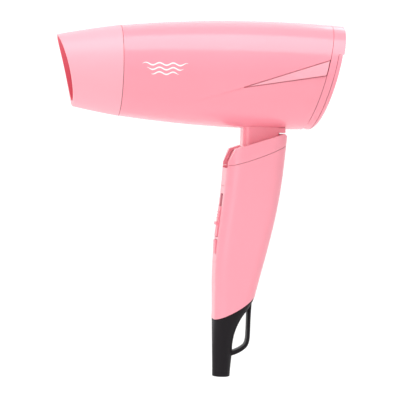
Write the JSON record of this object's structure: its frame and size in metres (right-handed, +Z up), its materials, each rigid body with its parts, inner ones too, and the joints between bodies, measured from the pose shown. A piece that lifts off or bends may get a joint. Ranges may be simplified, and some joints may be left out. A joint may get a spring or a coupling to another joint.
{
  "type": "folding hair dryer",
  "caption": "Compact folding hair dryer: barrel with slanted mouthpiece, slotted rear inlet, folding handle with slide switch and cool-shot button, rubber cord guard with hanging loop.",
  "frame": {"origin": "on the barrel's axis, at the middle of the round land just inside the air outlet", "axes": "-X along the barrel's axis the way the air blows, +Z up along the unfolded handle, +Y across to the dryer's right"},
  "size_m": [0.1947, 0.0738, 0.2428],
  "materials": {
    "gloss_pink": "glossy moulded ABS, pink",
    "trim_pink": "glossy moulded insert, lighter pink",
    "satin_pink": "satin moulded heat-resistant plastic, light pink",
    "handle_pink": "semi-gloss moulded ABS, pink",
    "control_pink": "satin moulded plastic, pink",
    "black_plastic": "matt black heat-resistant plastic",
    "black_rubber": "soft matt black moulded rubber",
    "wire_mesh": "fine woven wire dust screen",
    "mica": "pressed mica sheet",
    "steel": "zinc-plated steel",
    "bronze": "sintered bronze and contact brass"
  },
  "bodies": {
    "head": {"front_nozzle": "satin_pink", "outlet_grille": "black_plastic", "barrel_shell_left": "gloss_pink", "barrel_shell_right": "gloss_pink", "side_trim_left": "trim_pink", "side_trim_right": "trim_pink", "barrel_screw": "steel", "rear_cap": "gloss_pink", "inlet_grille": "gloss_pink", "inlet_mesh": "wire_mesh", "heat_shield": "mica", "heating_coil": "steel", "mica_boards": "mica", "thermostat": "black_plastic", "thermal_fuse": "steel", "rectifier_diodes": "black_plastic", "fan_duct": "black_plastic", "motor_can": "steel", "motor_end_bell": "steel", "motor_bushes": "bronze", "field_magnets": "black_plastic", "hinge_neck": "gloss_pink"},
    "fan": {"motor_shaft": "steel", "armature": "steel", "fan_impeller": "black_plastic"},
    "handle": {"handle_shell_left": "handle_pink", "handle_shell_right": "handle_pink", "hinge_collar": "handle_pink", "hinge_pin": "steel", "click_spring": "steel", "handle_screws": "steel", "switch_plate": "handle_pink", "power_switch": "black_plastic", "cool_switch": "black_plastic", "noise_capacitor": "black_plastic", "cord_guard": "black_rubber", "cord_clamp": "black_plastic", "clamp_screws": "steel"},
    "slider": {"power_slider": "control_pink", "slider_contact": "bronze"},
    "button": {"cool_button": "control_pink"}
  },
  "joints": [
    {"name": "handle_fold", "type": "hinge", "parent": "head", "child": "handle", "pos_m": [0.119, 0, -0.0558], "axis": [0, 1, 0], "range_deg": [0, 76]},
    {"name": "fan_spin", "type": "hinge", "parent": "head", "child": "fan", "pos_m": [0.11, 0, 0], "axis": [1, 0, 0], "continuous": true},
    {"name": "power_slide", "type": "slide", "parent": "handle", "child": "slider", "axis": [0.1132, 0, 0.9936], "range_m": [0, 0.008]},
    {"name": "cool_press", "type": "slide", "parent": "handle", "child": "button", "axis": [1, 0, 0], "range_m": [0, 0.0016], "stiffness_N_per_m": 400}
  ]
}
